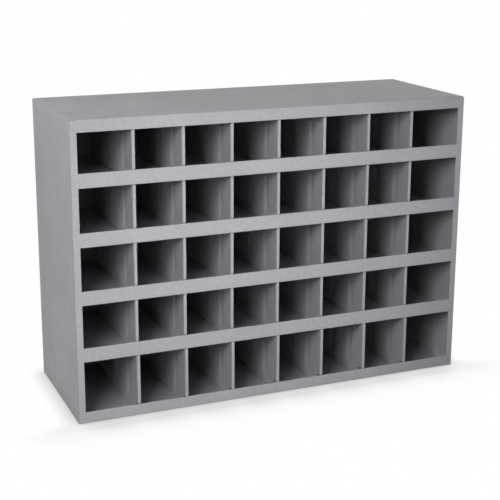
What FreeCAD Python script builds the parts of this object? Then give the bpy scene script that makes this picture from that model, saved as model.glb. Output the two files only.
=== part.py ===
import FreeCAD, Part
import math
import os
from FreeCAD import Vector

# Welded steel pigeonhole unit, in millimetres: a case of bent sheet with an open front,
# shelves with raised front lips, and upright dividers between the shelves.
# The origin is the middle of the base, +Z is up and the open front faces -Y.

# Case
unit_width = 857.25
unit_depth = 304.8
unit_height = 606.4
sheet = 0.8              # thickness of every panel
bend_radius = 1.2        # inside radius of a press-brake bend
pass_gap = 0.3           # gap between sheets that pass without being welded
frame_flange = 14.0      # flange that frames the front and the rear of the case
lap_flange = 15.0        # flange that is spot welded flat against another sheet

# Lips and hems
top_lip = 24.6
bottom_lip = 23.0
shelf_lip = 29.2
hem_gap = 1.4            # space inside a hem, between its two layers
hem_length = 9.0         # how far a hem's inner layer runs back from its nose

# Rows, from the base up, and columns
bottom_row = 127.0       # base to the underside of the lowest shelf
top_row = 131.4          # underside of the highest shelf to the top of the case
shelf_count = 4
outer_column = 123.8     # outside of the case to the nearest divider's line
column_count = 8

# Dividers
divider_nose = 7.2       # width of a divider's rounded front edge
nose_offset = 1.3        # middle of a nose, to the right of its column's line
nose_return = 9.0        # how far a nose's inner layer runs back from its front
divider_flange = 12.0    # foot and head flange, welded to the shelf below and above
flange_relief = 3.0      # from a divider's nose, or its rear edge, to its flanges
divider_setback = 3.6    # back of a lip's hem to a divider's front edge
flush_setback = 0.8      # front of the case to a bottom row divider's front edge
notch_margin = 1.0       # space around the bottom lip in a bottom row divider's notch
bead_count = 3
first_bead = 62.0        # front of the case to the middle of the nearest bead
bead_pitch = 82.0
bead_width = 30.0
bead_height = 2.8        # how far a bead is pressed out of the sheet
bead_end = 14.0          # from the shelf, below or above, to the end of a bead

# Worked out from the sizes above
front = -unit_depth / 2
rear = unit_depth / 2
half_width = unit_width / 2
wall = half_width - sheet                  # inner face of the case's sides
bend_outside = bend_radius + sheet
hem = 2 * sheet + hem_gap                  # thickness of a hemmed edge
hem_inside = hem_gap / 2
lip_half = half_width - frame_flange       # the lips end against the sides' flanges
strip_half = wall - bend_outside           # flat width of the panels between their flanges
back_face = rear - 2 * sheet               # inner face of the back panel
behind_flange = front + sheet + pass_gap
flange_start = front + bend_outside + pass_gap
flange_end = back_face - bend_outside - pass_gap
before_back = back_face - pass_gap
shelf_pitch = (unit_height - bottom_row - top_row) / (shelf_count - 1)
column_pitch = (unit_width - 2 * outer_column) / (column_count - 2)
same_point = 1e-6                          # ends nearer than this need no edge between them


def in_plan(u, v):
    return Vector(u, v, 0)


def from_the_side(u, v):
    return Vector(0, u, v)


def from_the_front(u, v):
    return Vector(u, 0, v)


# One layer of sheet bent along a path. The path lies on one face, and the sheet's
# thickness is to the left of it. A corner is (u, v), or (u, v, inside radius).
def bent_sheet(path, place, start, run):
    ends = [Vector(point[0], point[1], 0) for point in path]
    radii = [point[2] if len(point) > 2 else bend_radius for point in path]
    ways = [(b - a).normalize() for a, b in zip(ends, ends[1:])]
    lefts = [Vector(-way.y, way.x, 0) for way in ways]
    near, far = ends[0], ends[0] + lefts[0] * sheet
    outline = [(near, far)]
    for i in range(1, len(ends) - 1):
        turn = math.atan2(ways[i - 1].cross(ways[i]).z, ways[i - 1].dot(ways[i]))
        side = math.copysign(1, turn)
        radius = radii[i] + (sheet if turn > 0 else 0)
        cut_back = radius * math.tan(abs(turn) / 2)
        near_from = ends[i] - ways[i - 1] * cut_back
        near_to = ends[i] + ways[i] * cut_back
        far_from = near_from + lefts[i - 1] * sheet
        far_to = near_to + lefts[i] * sheet
        centre = near_from + lefts[i - 1] * (side * radius)
        outward = (ends[i] - centre).normalize()
        near_middle = centre + outward * radius
        far_middle = centre + outward * (radius - side * sheet)
        outline += [(near, near_from), (near_from, near_middle, near_to)]
        outline += [(far, far_from), (far_from, far_middle, far_to)]
        near, far = near_to, far_to
    near_end, far_end = ends[-1], ends[-1] + lefts[-1] * sheet
    outline += [(near, near_end), (far, far_end), (near_end, far_end)]
    edges = []
    for points in outline:
        placed = [start + place(point.x, point.y) for point in points]
        if len(placed) == 3:
            edges.append(Part.Arc(*placed).toShape())
        elif placed[0].distanceToPoint(placed[1]) > same_point:
            edges.append(Part.makeLine(*placed))
    profile = Part.Face(Part.Wire(Part.__sortEdges__(edges)))
    return profile.extrude(run)


def block(low, high):
    size = [b - a for a, b in zip(low, high)]
    return Part.makeBox(*size, Vector(*low))


def joined(first, *others):
    shape = first.multiFuse(list(others)).removeSplitter()
    return shape.Solids[0] if len(shape.Solids) == 1 else shape


# The middle of a panel, bent to a section that runs along X between the frame flanges
def along_width(path):
    return bent_sheet(path, from_the_side, Vector(-lip_half, 0, 0), Vector(2 * lip_half, 0, 0))


# The whole width of a panel, with the flanges that are welded to the case's sides
def across_width(path):
    start = Vector(0, flange_start, 0)
    return bent_sheet(path, from_the_front, start, Vector(0, flange_end - flange_start, 0))


# The two strips of a panel that pass the frame flanges of the sides
def end_strips(low_y, high_y, low_z):
    right = block((lip_half, low_y, low_z), (strip_half, high_y, low_z + sheet))
    left = block((-strip_half, low_y, low_z), (-lip_half, high_y, low_z + sheet))
    return right, left


def top_panel():
    lip_end = unit_height - top_lip
    section = [
        (rear, unit_height - frame_flange),
        (rear, unit_height),
        (front, unit_height),
        (front, lip_end, hem_inside),
        (front + hem, lip_end, hem_inside),
        (front + hem, lip_end + hem_length),
    ]
    flanges = [
        (wall, unit_height - lap_flange),
        (wall, unit_height),
        (-wall, unit_height),
        (-wall, unit_height - lap_flange),
    ]
    strips = end_strips(front, rear, unit_height - sheet)
    return joined(along_width(section), across_width(flanges), *strips)


def bottom_panel():
    section = [
        (front + hem, bottom_lip - hem_length),
        (front + hem, bottom_lip, hem_inside),
        (front, bottom_lip, hem_inside),
        (front, 0),
        (rear, 0),
        (rear, frame_flange),
    ]
    flanges = [(-wall, lap_flange), (-wall, 0), (wall, 0), (wall, lap_flange)]
    strips = end_strips(behind_flange, rear - sheet - pass_gap, 0)
    return joined(along_width(section), across_width(flanges), *strips)


def shelf(underside):
    lip_end = underside + shelf_lip
    inner_rear = back_face - sheet
    inner_wall = wall - sheet
    section = [
        (front + hem, lip_end - hem_length),
        (front + hem, lip_end, hem_inside),
        (front, lip_end, hem_inside),
        (front, underside),
        (inner_rear, underside),
        (inner_rear, underside - lap_flange),
    ]
    flanges = [
        (-inner_wall, underside - lap_flange),
        (-inner_wall, underside),
        (inner_wall, underside),
        (inner_wall, underside - lap_flange),
    ]
    strips = end_strips(behind_flange, before_back, underside)
    return joined(along_width(section), across_width(flanges), *strips)


# The side stops where the rounded edge of the top panel starts, and only its flanges go on
# up to the underside of the top panel.
def right_side():
    path = [
        (lip_half, front),
        (half_width, front),
        (half_width, rear),
        (lip_half, rear),
    ]
    side_top = unit_height - bend_outside
    flange_top = unit_height - sheet
    panel = bent_sheet(path, in_plan, Vector(0, 0, 0), Vector(0, 0, side_top))
    front_tip = block((lip_half, front, side_top), (strip_half, front + sheet, flange_top))
    rear_tip = block((lip_half, rear - sheet, side_top), (strip_half, rear, flange_top))
    return joined(panel, front_tip, rear_tip)


def left_side():
    return right_side().mirror(Vector(0, 0, 0), Vector(1, 0, 0))


def back_panel():
    inset = bend_outside + pass_gap
    low = (-half_width + inset, back_face, inset)
    high = (half_width - inset, rear - sheet, unit_height - inset)
    return block(low, high)


# A long bump with round ends: what stands out of a face of a round bar with ball ends.
# The bar runs down from its top, which puts the seams of its round faces inside the bump.
def bead_bump(face_x, y, low, high):
    radius = (bead_width ** 2 / 4 + bead_height ** 2) / (2 * bead_height)
    axis_x = face_x + bead_height - radius
    down = Vector(0, 0, -1)
    bar_low = Vector(axis_x, y, low + bead_width / 2)
    bar_high = Vector(axis_x, y, high - bead_width / 2)
    bar = Part.makeCylinder(radius, bar_high.z - bar_low.z, bar_high, down)
    low_ball = Part.makeSphere(radius, bar_low, down)
    high_ball = Part.makeSphere(radius, bar_high, down)
    proud = block(
        (face_x, y - bead_width, low - bead_width),
        (face_x + bead_height, y + bead_width, high + bead_width),
    )
    return proud.common(bar.multiFuse([low_ball, high_ball]))


# A divider stands on the sheet below it and is welded to the sheet above it. Its column's
# line is at x = 0, and its nose, foot, head and beads all turn to +X.
def divider(floor, ceiling, front_y, edge_low):
    left = nose_offset - divider_nose / 2
    right = left + sheet
    tip = left + divider_flange
    rear_y = flange_end
    bent_from = front_y + nose_return + flange_relief
    bent_to = rear_y - flange_relief
    low, high = floor + pass_gap, ceiling - pass_gap
    edge = [
        (left, bent_from),
        (left, front_y),
        (left + divider_nose, front_y),
        (left + divider_nose, front_y + nose_return),
    ]
    web = [(tip, ceiling), (left, ceiling), (left, floor), (tip, floor)]
    shape = joined(
        bent_sheet(edge, in_plan, Vector(0, 0, edge_low), Vector(0, 0, high - edge_low)),
        bent_sheet(web, from_the_front, Vector(0, bent_from, 0), Vector(0, bent_to - bent_from, 0)),
        block((left, bent_to, low), (right, rear_y, high)),
    )
    bead_low, bead_high = floor + bead_end, ceiling - bead_end
    for i in range(bead_count):
        y = front + first_bead + i * bead_pitch
        shape = shape.fuse(bead_bump(right, y, bead_low, bead_high))
        shape = shape.cut(bead_bump(left, y, bead_low, bead_high))
    return joined(shape)


# Floors and ceilings of the rows, from the base up
undersides = [bottom_row + i * shelf_pitch for i in range(shelf_count)]
floors = [sheet] + [underside + sheet for underside in undersides]
ceilings = undersides + [unit_height - sheet]
row_count = shelf_count + 1

nodes = {
    "top_panel": top_panel(),
    "bottom_panel": bottom_panel(),
    "left_side": left_side(),
    "right_side": right_side(),
    "back_panel": back_panel(),
}
for i, underside in enumerate(undersides):
    nodes[f"shelf_{shelf_count - i}"] = shelf(underside)

# Rows are numbered from the top down, and dividers from the left, as seen from the front.
for i in range(row_count):
    if i == 0:
        # the bottom row's dividers come forward to the front and are notched round the lip
        shape = divider(floors[i], ceilings[i], front + flush_setback, bottom_lip + notch_margin)
    else:
        behind_lip = front + hem + divider_setback
        shape = divider(floors[i], ceilings[i], behind_lip, floors[i] + pass_gap)
    for column in range(1, column_count):
        x = -half_width + outer_column + (column - 1) * column_pitch
        nodes[f"divider_r{row_count - i}_c{column}"] = shape.translated(Vector(x, 0, 0))

os.makedirs("parts", exist_ok=True)
for name, shape in nodes.items():
    shape.exportStep(f"parts/{name}.step")
    box = shape.BoundBox
    print(
        f"{name:16s} solids {len(shape.Solids)} valid {shape.isValid()} faces {len(shape.Faces)}",
        f"volume {shape.Volume:.0f} size {box.XLength:.1f} {box.YLength:.1f} {box.ZLength:.1f}",
    )
print(f"shelf pitch {shelf_pitch:.2f}, column pitch {column_pitch:.2f}, {len(nodes)} nodes")
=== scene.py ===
import math

import bmesh
import bpy
from mathutils import Matrix, Vector


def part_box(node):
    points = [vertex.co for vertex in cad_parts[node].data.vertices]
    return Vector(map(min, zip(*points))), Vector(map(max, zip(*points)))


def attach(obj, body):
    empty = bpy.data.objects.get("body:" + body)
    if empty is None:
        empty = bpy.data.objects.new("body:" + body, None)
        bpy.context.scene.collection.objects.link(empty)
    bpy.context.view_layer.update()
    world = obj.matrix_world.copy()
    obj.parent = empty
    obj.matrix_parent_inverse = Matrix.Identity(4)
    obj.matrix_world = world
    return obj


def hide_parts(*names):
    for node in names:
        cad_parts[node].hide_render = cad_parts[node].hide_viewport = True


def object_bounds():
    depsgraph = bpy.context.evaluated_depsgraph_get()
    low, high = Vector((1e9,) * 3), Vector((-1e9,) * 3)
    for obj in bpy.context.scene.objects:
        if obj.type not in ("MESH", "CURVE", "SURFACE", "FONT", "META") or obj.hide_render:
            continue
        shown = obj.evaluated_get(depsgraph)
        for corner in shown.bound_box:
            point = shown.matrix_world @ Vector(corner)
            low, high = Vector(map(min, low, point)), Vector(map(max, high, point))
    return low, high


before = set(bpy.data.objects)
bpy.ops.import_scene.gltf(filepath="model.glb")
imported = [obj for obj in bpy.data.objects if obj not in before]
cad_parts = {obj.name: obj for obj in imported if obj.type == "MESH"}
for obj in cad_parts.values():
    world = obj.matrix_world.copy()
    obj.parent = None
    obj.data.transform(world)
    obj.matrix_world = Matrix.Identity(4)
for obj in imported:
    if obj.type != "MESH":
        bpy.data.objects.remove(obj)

mm = 0.001
cadLow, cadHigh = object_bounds()
print("frame loaded:", len(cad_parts), "nodes")

scene = bpy.context.scene
scene.view_settings.view_transform = "Standard"

# The camera stands in front of the unit, to the left and a little above it
shot = {
    "target": (0.0001, 0.0, 0.329),
    "azimuth": -22.9,
    "elevation": 14.56,
    "roll": 0.25,
    "distance": 2.52,
    "lens": 84.0,
    "sensor": 36.0,
    "shiftUp": -0.05,
}


def towards(azimuth, elevation):
    turn, lift = math.radians(azimuth), math.radians(elevation)
    flat = math.cos(lift)
    return Vector((math.sin(turn) * flat, -math.cos(turn) * flat, math.sin(lift)))


def makeCamera():
    data = bpy.data.cameras.new("shotCamera")
    data.lens = shot["lens"]
    data.sensor_width = shot["sensor"]
    data.shift_y = shot["shiftUp"]
    camera = bpy.data.objects.new("shotCamera", data)
    scene.collection.objects.link(camera)
    back = towards(shot["azimuth"], shot["elevation"])
    facing = (-back).to_track_quat("-Z", "Y").to_matrix()
    roll = Matrix.Rotation(math.radians(shot["roll"]), 3, "Z")
    place = Vector(shot["target"]) + back * shot["distance"]
    camera.matrix_world = Matrix.Translation(place) @ (facing @ roll).to_4x4()
    scene.camera = camera


makeCamera()
print("camera ready")

# Grey baked enamel: clouded a little by the spray gun, with a fine mottle and orange peel.
# Its gloss varies in patches, and the bumps are heights of the paint.
paint = {
    "colour": (0.37, 0.37, 0.395),
    "clouds": {"size": 160 * mm, "change": 0.05},  # change is a share of the colour
    "mottle": {"size": 8 * mm, "change": 0.06},
    "roughness": (0.47, 0.56),
    "roughnessSize": 45 * mm,
    "roughnessDetail": 4.0,
    "specular": 0.35,
    "peel": {"size": 1.8 * mm, "depth": 0.012 * mm},
    "grain": {"size": 0.35 * mm, "depth": 0.003 * mm},
    "noiseDetail": 2.0,
    "noiseEnds": (0.3, 0.7),  # nearly all of a noise lies between these
}


def addNoise(nodes, links, place, size, detail=paint["noiseDetail"]):
    noise = nodes.new("ShaderNodeTexNoise")
    noise.inputs["Scale"].default_value = 1 / size
    noise.inputs["Detail"].default_value = detail
    links.new(place, noise.inputs["Vector"])
    return noise.outputs["Fac"]


def addRange(nodes, links, value, low, high):
    spread = nodes.new("ShaderNodeMapRange")
    spread.inputs["From Min"].default_value = paint["noiseEnds"][0]
    spread.inputs["From Max"].default_value = paint["noiseEnds"][1]
    spread.inputs["To Min"].default_value = low
    spread.inputs["To Max"].default_value = high
    links.new(value, spread.inputs["Value"])
    return spread.outputs["Result"]


# Each value is a plain number or another node's output
def addMath(nodes, links, operation, *values):
    step = nodes.new("ShaderNodeMath")
    step.operation = operation
    for value, socket in zip(values, step.inputs):
        if isinstance(value, (int, float)):
            socket.default_value = value
        else:
            links.new(value, socket)
    return step.outputs[0]


def makeEnamel():
    material = bpy.data.materials.new("greyEnamel")
    material.use_nodes = True
    nodes, links = material.node_tree.nodes, material.node_tree.links
    shader = nodes["Principled BSDF"]
    shader.inputs["Specular IOR Level"].default_value = paint["specular"]
    place = nodes.new("ShaderNodeTexCoord").outputs["Object"]

    shades = []
    for part in (paint["clouds"], paint["mottle"]):
        noise = addNoise(nodes, links, place, part["size"])
        shades.append(addRange(nodes, links, noise, 1 - part["change"], 1 + part["change"]))
    shade = addMath(nodes, links, "MULTIPLY", *shades)
    tint = nodes.new("ShaderNodeVectorMath")
    tint.operation = "SCALE"
    tint.inputs[0].default_value = paint["colour"]
    links.new(shade, tint.inputs["Scale"])
    links.new(tint.outputs[0], shader.inputs["Base Color"])

    patches = addNoise(nodes, links, place, paint["roughnessSize"], paint["roughnessDetail"])
    roughness = addRange(nodes, links, patches, *paint["roughness"])
    links.new(roughness, shader.inputs["Roughness"])

    normal = None
    for part in (paint["grain"], paint["peel"]):
        bump = nodes.new("ShaderNodeBump")
        bump.inputs["Distance"].default_value = part["depth"]
        links.new(addNoise(nodes, links, place, part["size"]), bump.inputs["Height"])
        if normal:
            links.new(normal, bump.inputs["Normal"])
        normal = bump.outputs[0]
    links.new(normal, shader.inputs["Normal"])
    return material


enamel = makeEnamel()
print("enamel ready")

# Sheet steel, as every panel is bent from it
steel = {
    "thickness": 0.8 * mm,
    "bend": 1.2 * mm,      # inside radius of a bend
    "hem": 3.0 * mm,       # thickness of a hemmed edge
    "hemLength": 9.0 * mm,
    "passGap": 0.3 * mm,   # between sheets that pass each other
    "flange": 14.0 * mm,   # flanges that frame the front and the rear
    "lap": 15.0 * mm,      # flanges that are spot welded to another sheet
    "bendSteps": 6,
    "longestCell": 45.0 * mm,
    "paintRound": 0.22 * mm,  # how far the paint rounds a cut edge
    "paintSegments": 2,
    "edgeAngle": 50,       # a sharper turn than this, in degrees, is a cut edge
}
oneSpot = 1e-7  # stations nearer than this are one
onLine = 1e-6   # a point nearer than this is on the line
half = steel["thickness"] / 2
bendMiddle = steel["bend"] + half
bendOutside = steel["bend"] + steel["thickness"]
hemMiddle = (steel["hem"] - steel["thickness"]) / 2

front, rear = cadLow.y, cadHigh.y
halfWidth, height = cadHigh.x, cadHigh.z
wall = halfWidth - steel["thickness"]
backFace = rear - 2 * steel["thickness"]
lipHalf = halfWidth - steel["flange"]
stripHalf = wall - bendOutside
lapFront = front + bendOutside + steel["passGap"]
lapRear = backFace - bendOutside - steel["passGap"]


# Stations along the middle of a bent sheet, in the plane of its section. A corner is (u, v) or
# (u, v, radius). Extra lines are coordinates along a straight run, listed by the run's number.
def foldPath(corners, extraLines=None, steps=steel["bendSteps"]):
    extraLines = extraLines or {}
    points = [Vector(corner[:2]) for corner in corners]
    radii = [corner[2] if len(corner) > 2 else bendMiddle for corner in corners]
    ways = [(b - a).normalized() for a, b in zip(points, points[1:])]
    path = {"at": [], "left": [], "run": []}

    def addStation(point, way, run):
        if path["at"] and (point - path["at"][-1]).length < oneSpot:
            return
        path["at"].append(point)
        path["left"].append(Vector((-way.y, way.x)))
        path["run"].append(run)

    start = points[0]
    for run, way in enumerate(ways):
        end = points[run + 1]
        turn = 0.0
        if run + 1 < len(ways):
            after = ways[run + 1]
            turn = math.atan2(way.x * after.y - way.y * after.x, way.dot(after))
            end = end - way * (radii[run + 1] * math.tan(abs(turn) / 2))
        axis = 0 if abs(way.x) > abs(way.y) else 1
        length = (end - start).length
        marks = {(value - start[axis]) / way[axis] for value in extraLines.get(run, ())}
        marks = sorted({0.0, length} | {mark for mark in marks if 0 < mark < length})
        for low, high in zip(marks, marks[1:]):
            count = max(1, math.ceil((high - low) / steel["longestCell"]))
            for k in range(count):
                addStation(start + way * (low + (high - low) * k / count), way, run)
        addStation(end, way, run)
        if turn:
            centre = end + Vector((-way.y, way.x)) * math.copysign(radii[run + 1], turn)
            for k in range(1, steps + 1):
                spin = Matrix.Rotation(turn * k / steps, 2)
                addStation(centre + spin @ (end - centre), spin @ way, run + 0.5)
            start = path["at"][-1].copy()
    path["run"] = path["run"][1:]  # one for each cell between two stations
    return path


# The dimple of a spot weld takes the place of one square cell
dimple = {
    "radius": 2.5 * mm,
    "depth": 0.22 * mm,
    "rings": ((1.0, 0.0), (0.72, 0.6), (0.4, 1.0)),  # shares of the radius and of the depth
    "cellHalf": 4.5 * mm,
    "around": 12,  # points on a ring: three to each corner of the cell
}


def addDimple(bm, corners, inward):
    middle = sum((corner.co for corner in corners), Vector()) / 4
    alongOne = (corners[1].co - corners[0].co).normalized()
    alongTwo = (corners[3].co - corners[0].co).normalized()
    around = dimple["around"]
    rings = []
    for share, sunk in dimple["rings"]:
        ring = []
        for k in range(around):
            angle = math.radians(225 + 360 / around * k)
            out = alongOne * math.cos(angle) + alongTwo * math.sin(angle)
            place = middle + out * dimple["radius"] * share + inward * dimple["depth"] * sunk
            ring.append(bm.verts.new(place))
        rings.append(ring)
    rim = rings[0]
    for q in range(4):
        here, there = corners[q], corners[(q + 1) % 4]
        bm.faces.new((here, there, rim[3 * q + 2], rim[3 * q + 1]))
        bm.faces.new((here, rim[3 * q + 1], rim[3 * q]))
        bm.faces.new((there, rim[(3 * q + 3) % around], rim[3 * q + 2]))
    for outer, inner in zip(rings, rings[1:]):
        for k in range(around):
            after = (k + 1) % around
            bm.faces.new((outer[k], outer[after], inner[after], inner[k]))
    bm.faces.new(rings[-1])


# Lines on both sides of each weld, so that its dimple gets a cell of its own
def weldLines(places):
    return [place + side * dimple["cellHalf"] for place in places for side in (-1, 1)]


def objectFrom(bm, name):
    mesh = bpy.data.meshes.new(name)
    bm.to_mesh(mesh)
    bm.free()
    made = bpy.data.objects.new(name, mesh)
    scene.collection.objects.link(made)
    return made


# A panel cut from flat sheet and folded both ways. section runs in the plane of u and v, and
# spread runs along the third axis, with its own folds standing off the section's left side.
# order names the axes of u, v and the third, and keep says which cells the blank has.
def foldedSheet(name, node, section, spread, order, keep, shape=None, welds=(), weldSide=-1):
    def place(u, v, w):
        spot = Vector()
        for axis, value in zip(order, (u, v, w)):
            spot[axis] = value
        return spot

    bm = bmesh.new()
    made = {}

    def vertex(i, j):
        if (i, j) not in made:
            (u, v), (w, off) = section["at"][i], spread["at"][j]
            normal = place(*section["left"][i], 0.0)
            spot = place(u, v, w) + normal * off
            if shape:
                spot = shape(spot, normal)
            made[i, j] = bm.verts.new(spot)
        return made[i, j]

    for i, run in enumerate(section["run"]):
        at = (section["at"][i] + section["at"][i + 1]) / 2
        for j, fold in enumerate(spread["run"]):
            across = (spread["at"][j] + spread["at"][j + 1]) / 2
            if not keep(run, at, fold, across):
                continue
            corners = [vertex(i, j), vertex(i, j + 1), vertex(i + 1, j + 1), vertex(i + 1, j)]
            middle = sum((corner.co for corner in corners), Vector()) / 4
            if any((middle - weld).length < dimple["radius"] for weld in welds):
                addDimple(bm, corners, place(*section["left"][i], 0.0) * weldSide)
            else:
                bm.faces.new(corners)
    for face in bm.faces:
        face.smooth = True
    panel = objectFrom(bm, name)
    solid = panel.modifiers.new("sheetThickness", "SOLIDIFY")
    solid.thickness = steel["thickness"]
    solid.offset = 0
    solid.use_even_offset = True
    rounding = panel.modifiers.new("paintedEdge", "BEVEL")
    rounding.width = steel["paintRound"]
    rounding.segments = steel["paintSegments"]
    rounding.limit_method = "ANGLE"
    rounding.angle_limit = math.radians(steel["edgeAngle"])
    panel.modifiers.new("evenShading", "WEIGHTED_NORMAL")
    panel.data.materials.append(enamel)
    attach(panel, "root")
    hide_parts(node)
    return panel


# Trays are the top, the bottom and the shelves: each is a flat with a hemmed lip in front, a
# flange at the rear and a lap at each end. level is the middle of the flat sheet.
yzx = (1, 2, 0)  # the axes of u, v and the third
xyz = (0, 1, 2)
flatRun = 3      # number of the flat's run in a tray's section


def makeTray(name, node, level, lipTip, lipUp, rearMiddle, rearTip, lapTip, welds=()):
    tip = lipTip - lipUp * half
    hemBack = front + steel["hem"] - half
    corners = [
        (hemBack, lipTip - lipUp * steel["hemLength"]),
        (hemBack, tip, hemMiddle),
        (front + half, tip, hemMiddle),
        (front + half, level),
        (rearMiddle, level),
        (rearMiddle, rearTip),
    ]
    section = foldPath(corners, {flatRun: [lapFront, lapRear, *weldLines({w.y for w in welds})]})
    lap = lapTip - level
    side = wall - half
    ends = [(-side, lap), (-side, 0), (side, 0), (side, lap)]
    spread = foldPath(ends, {1: [-lipHalf, lipHalf, *weldLines({w.x for w in welds})]})

    def keep(run, at, fold, across):
        if fold == 1:
            return run == flatRun or abs(across.x) < lipHalf
        return run == flatRun and lapFront < at.x < lapRear

    return foldedSheet(name, node, section, spread, yzx, keep, welds=welds)


# Dividers, which the top and the back need too, because they are welded to them
divider = {
    "nose": 7.2 * mm,       # width of the rounded front edge
    "noseReturn": 9.0 * mm,
    "flange": 12.0 * mm,    # foot and head
    "relief": 3.0 * mm,     # from the nose, or the rear edge, to the foot and head
    "rearSlope": 1.0 * mm,  # from the end of the foot to the full height of the rear edge
    "bead": 2.8 * mm,       # how far a bead is pressed out of the sheet
    "beadHalf": 15.0 * mm,  # half its width
    "beadEnd": 14.0 * mm,   # from the shelf to the end of a bead
    "firstBead": 62.0 * mm,
    "beadPitch": 82.0 * mm,
    "beadCount": 3,
    "beadLines": (0.0, 0.3, 0.55, 0.78, 1.0),  # shares of the half width
    "bendSteps": 4,
    "notch": 24.0 * mm,     # how far up the bottom row's front edges start
    "weldAside": 3.4 * mm,  # from a divider's middle to the welds of its head
    "weldYs": (-0.1, 0.0, 0.1),
}
columnCount, rowCount = 8, 5


def dividerMiddles():
    middles = []
    for column in range(1, columnCount):
        low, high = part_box(f"divider_r1_c{column}")
        middles.append(low.x + divider["nose"] / 2)
    return middles


middles = dividerMiddles()
headWelds = [Vector((x + divider["weldAside"], y, 0)) for x in middles for y in divider["weldYs"]]


def atLevel(welds, level):
    return [Vector((weld.x, weld.y, level)) for weld in welds]


case = {
    "topLip": 24.6 * mm,
    "bottomLip": 23.0 * mm,
    "sideWeldYs": (-0.112, -0.037, 0.037, 0.112),
    "backWeldAside": 50.0 * mm,  # from a divider's middle
}


def makeTopAndBottom():
    rearMiddle = rear - half
    level = height - half
    makeTray(
        "topPanel", "top_panel", level, height - case["topLip"], -1, rearMiddle,
        height - steel["flange"], height - steel["lap"], atLevel(headWelds, level),
    )
    makeTray(
        "bottomPanel", "bottom_panel", half, case["bottomLip"], 1, rearMiddle,
        steel["flange"], steel["lap"],
    )


shelf = {"lip": 29.2 * mm}


def makeShelves():
    undersides = []
    for number in range(1, rowCount):
        node = f"shelf_{number}"
        low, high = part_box(node)
        underside = high.z - shelf["lip"]
        lapTip = underside - steel["lap"]
        makeTray(
            f"shelf{number}", node, underside + half, high.z, 1, backFace - half, lapTip, lapTip,
        )
        undersides.append(underside)
    return undersides


makeTopAndBottom()
undersides = makeShelves()
print("trays ready")


# Sides: one flat each, with a flange turned in at the front and at the rear
def makeSide(name, node, sign):
    outer = sign * (halfWidth - half)
    inner = sign * lipHalf
    corners = [
        (inner, front + half),
        (outer, front + half),
        (outer, rear - half),
        (inner, rear - half),
    ]
    if sign < 0:
        corners.reverse()
    rows = [z - steel["lap"] / 2 for z in undersides]
    rows += [steel["lap"] / 2, height - bendOutside - steel["lap"] / 2]
    welds = [Vector((outer, y, z)) for z in rows for y in case["sideWeldYs"]]
    sideTop = height - bendOutside
    flangeTop = height - steel["thickness"]
    strip = [sign * stripHalf]
    section = foldPath(corners, {0: strip, 1: weldLines({w.y for w in welds}), 2: strip})
    spread = foldPath([(0, 0), (flangeTop, 0)], {0: [sideTop, *weldLines(rows)]})

    def keep(run, at, fold, across):
        return across.x < sideTop or (run in (0, 2) and abs(at.x) < stripHalf)

    return foldedSheet(name, node, section, spread, xyz, keep, welds=welds, weldSide=1)


def makeBack():
    low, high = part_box("back_panel")
    middle = (low.y + high.y) / 2
    rows = [z - steel["lap"] / 2 for z in undersides]
    aside = case["backWeldAside"]
    columns = [x + aside for x in middles] + [middles[0] - aside]
    welds = [Vector((x, middle, z)) for z in rows for x in columns]
    section = foldPath([(low.x, middle), (high.x, middle)], {0: weldLines(columns)})
    spread = foldPath([(low.z, 0), (high.z, 0)], {0: weldLines(rows)})
    return foldedSheet(
        "backPanel", "back_panel", section, spread, xyz, lambda *cell: True, welds=welds,
    )


makeSide("leftSide", "left_side", -1)
makeSide("rightSide", "right_side", 1)
makeBack()
print("sides and back ready")


def makeDivider(row, column):
    node = f"divider_r{row}_c{column}"
    low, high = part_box(node)
    web = low.x + half
    noseFar = web + divider["nose"] - steel["thickness"]
    tip = web - half + divider["flange"]
    bentFrom = low.y + divider["noseReturn"] + divider["relief"]
    bentTo = high.y - divider["relief"]
    steps = divider["bendSteps"]
    firstBead = front + divider["firstBead"]
    beadYs = [firstBead + k * divider["beadPitch"] for k in range(divider["beadCount"])]
    shares = sorted({side * share for share in divider["beadLines"] for side in (-1, 1)})
    yLines = [y + share * divider["beadHalf"] for y in beadYs for share in shares]
    beadLow = low.z + divider["beadEnd"] + divider["beadHalf"]
    beadHigh = high.z - divider["beadEnd"] - divider["beadHalf"]
    zLines = [beadLow - share * divider["beadHalf"] for share in divider["beadLines"]]
    zLines += [beadHigh + share * divider["beadHalf"] for share in divider["beadLines"]]
    atBottom = row == rowCount
    if atBottom:
        zLines.append(divider["notch"])
    corners = [
        (web, high.y),
        (web, low.y + half),
        (noseFar, low.y + half),
        (noseFar, low.y + divider["noseReturn"]),
    ]
    yLines += [bentFrom, bentFrom - bendOutside, bentTo, bentTo + divider["rearSlope"]]
    section = foldPath(corners, {0: yLines}, steps)
    floor, ceiling = low.z + half, high.z - half
    ends = [(floor, tip - web), (floor, 0), (ceiling, 0), (ceiling, tip - web)]
    spread = foldPath(ends, {1: zLines}, steps)
    lowEnd, highEnd = low.z + bendOutside, high.z - bendOutside

    def keep(run, at, fold, across):
        if fold != 1:
            return run == 0 and bentFrom < at.y < bentTo
        return not atBottom or at.y > bentFrom or across.x > divider["notch"]

    # Presses the beads, and lets the web reach down and up where it has no foot or head
    def shape(spot, normal):
        if abs(spot.x - web) < onLine:
            nearest = min(beadYs, key=lambda y: abs(y - spot.y))
            beyond = max(0.0, beadLow - spot.z, spot.z - beadHigh)
            share = math.hypot(spot.y - nearest, beyond) / divider["beadHalf"]
            if share < 1:
                spot = spot + normal * divider["bead"] * (0.5 + 0.5 * math.cos(math.pi * share))
        if spot.y < bentFrom - onLine or spot.y > bentTo + onLine:
            if abs(spot.z - lowEnd) < onLine:
                spot.z = low.z + steel["passGap"]
            if abs(spot.z - highEnd) < onLine:
                spot.z = high.z - steel["passGap"]
        return spot

    return foldedSheet(f"dividerR{row}C{column}", node, section, spread, xyz, keep, shape)


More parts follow.
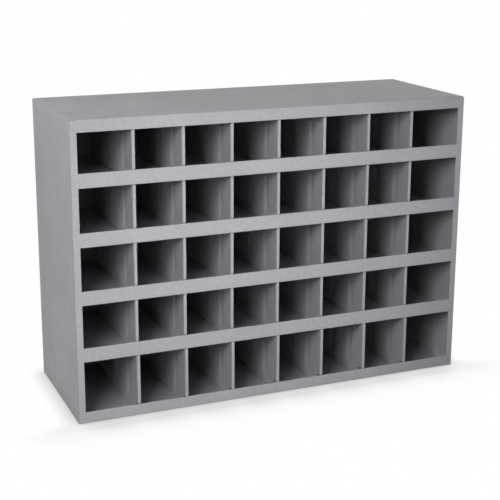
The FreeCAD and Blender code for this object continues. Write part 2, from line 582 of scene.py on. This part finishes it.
for row in range(1, rowCount + 1):
    for column in range(1, columnCount):
        makeDivider(row, column)
print("dividers ready")

# Studio: a white floor and background, with the light from the left
studio = {
    "floorSize": 8.0,
    "floorCells": 8,
    "floorColour": (0.15, 0.15, 0.15, 1),
    "floorRoughness": 0.9,
    "ambient": 0.02,
    "shadowReach": (0.04, 0.15),  # how far the contact shadow reaches, beside and in front
    "shadowDepth": (0.7, 1.0),    # how dark it is, beside and in front
    "shadowTurn": (0.02, -0.03),  # where one turns into the other, from the unit's front
    "shadowEnds": (0.8, 1.0),     # the floor is plain beyond this distance from the unit
    "shadowSamples": 16,
}


# 1 for a ray that shows the studio, to the camera or in gloss, and 0 for one that lights
def addShowingRay(nodes, links):
    rays = nodes.new("ShaderNodeLightPath").outputs
    showing = rays["Is Camera Ray"]
    for name in ("Is Glossy Ray", "Is Transmission Ray"):
        showing = addMath(nodes, links, "MAXIMUM", showing, rays[name])
    return showing


# One shader lights the unit, and the other is what the camera and the gloss show
def mixByRay(tree, light, shown, output):
    mix = tree.nodes.new("ShaderNodeMixShader")
    tree.links.new(addShowingRay(tree.nodes, tree.links), mix.inputs[0])
    tree.links.new(light.outputs[0], mix.inputs[1])
    tree.links.new(shown.outputs[0], mix.inputs[2])
    tree.links.new(mix.outputs[0], output.inputs[0])


def makeWorld():
    world = bpy.data.worlds.new("studioWorld")
    scene.world = world
    world.use_nodes = True
    nodes = world.node_tree.nodes
    ambient = nodes["Background"]
    ambient.inputs["Color"].default_value = (studio["ambient"],) * 3 + (1,)
    white = nodes.new("ShaderNodeBackground")
    white.inputs["Color"].default_value = (1, 1, 1, 1)
    mixByRay(world.node_tree, ambient, white, nodes["World Output"])


def addSmoothStep(nodes, links, value, ends, results):
    step = nodes.new("ShaderNodeMapRange")
    step.interpolation_type = "SMOOTHSTEP"
    for name, number in zip(("From Min", "From Max", "To Min", "To Max"), (*ends, *results)):
        step.inputs[name].default_value = number
    links.new(value, step.inputs["Value"])
    return step.outputs["Result"]


def makeFloorWhite():
    material = bpy.data.materials.new("floorWhite")
    material.use_nodes = True
    nodes, links = material.node_tree.nodes, material.node_tree.links
    plain = nodes["Principled BSDF"]
    plain.inputs["Base Color"].default_value = studio["floorColour"]
    plain.inputs["Roughness"].default_value = studio["floorRoughness"]
    place = nodes.new("ShaderNodeTexCoord").outputs["Object"]
    parts = nodes.new("ShaderNodeSeparateXYZ")
    links.new(place, parts.inputs[0])
    turn = [front + step for step in studio["shadowTurn"]]
    reach = addSmoothStep(nodes, links, parts.outputs["Y"], turn, studio["shadowReach"])
    depth = addSmoothStep(nodes, links, parts.outputs["Y"], turn, studio["shadowDepth"])
    clear = nodes.new("ShaderNodeAmbientOcclusion")
    clear.samples = studio["shadowSamples"]
    links.new(reach, clear.inputs["Distance"])
    hidden = addMath(nodes, links, "SUBTRACT", clear.outputs["AO"], 1)
    lit = addMath(nodes, links, "MULTIPLY_ADD", hidden, depth, 1)
    away = nodes.new("ShaderNodeVectorMath")
    away.operation = "LENGTH"
    links.new(place, away.inputs[0])
    fade = addSmoothStep(nodes, links, away.outputs["Value"], studio["shadowEnds"], (0, 1))
    glow = nodes.new("ShaderNodeEmission")
    links.new(addMath(nodes, links, "MAXIMUM", lit, fade), glow.inputs["Strength"])
    mixByRay(material.node_tree, plain, glow, nodes["Material Output"])
    return material


def makeFloor():
    bm = bmesh.new()
    cells = studio["floorCells"]
    bmesh.ops.create_grid(bm, x_segments=cells, y_segments=cells, size=studio["floorSize"] / 2)
    floor = objectFrom(bm, "studioFloor")
    floor.data.materials.append(makeFloorWhite())


# beam is the full angle that the grid on a lamp lets through, and gloss is whether its own
# reflection shows: the large lamps would burn out the top as seen from the other side
lamps = {
    "keyLamp": {
        "at": (-1.65, -1.7, 1.42), "aim": (-0.2, -0.15, 0.5), "size": (1.05, 1.1),
        "power": 39.9, "beam": 180, "gloss": False,
    },
    "frontLamp": {
        "at": (2.0, -2.6, 0.35), "aim": (-0.36, -0.15, 0.39), "size": (0.5, 0.4),
        "power": 2.65, "beam": 30, "gloss": True,
    },
    "topLamp": {
        "at": (0.4, 0.6, 2.2), "aim": (0.1, 0, 0.6), "size": (1.2, 0.8),
        "power": 4.7, "beam": 180, "gloss": True,
    },
    "leftLamp": {
        "at": (-1.3, 0.1, 1.0), "aim": (-0.43, 0, 0.6), "size": (0.7, 0.5),
        "power": 3.4, "beam": 180, "gloss": True,
    },
    "rearLamp": {
        "at": (2.9, 1.2, 1.0), "aim": (0, 0, 0.3), "size": (1.2, 1.2),
        "power": 42, "beam": 180, "gloss": False,
    },
}


def makeLamps():
    for name, lamp in lamps.items():
        data = bpy.data.lights.new(name, "AREA")
        data.shape = "RECTANGLE"
        data.size, data.size_y = lamp["size"]
        data.energy = lamp["power"]
        data.spread = math.radians(lamp["beam"])
        holder = bpy.data.objects.new(name, data)
        holder.visible_camera = False
        holder.visible_glossy = lamp["gloss"]
        scene.collection.objects.link(holder)
        place = Vector(lamp["at"])
        facing = (Vector(lamp["aim"]) - place).to_track_quat("-Z", "Y")
        holder.matrix_world = Matrix.Translation(place) @ facing.to_matrix().to_4x4()


makeWorld()
makeFloor()
makeLamps()
print("studio ready")
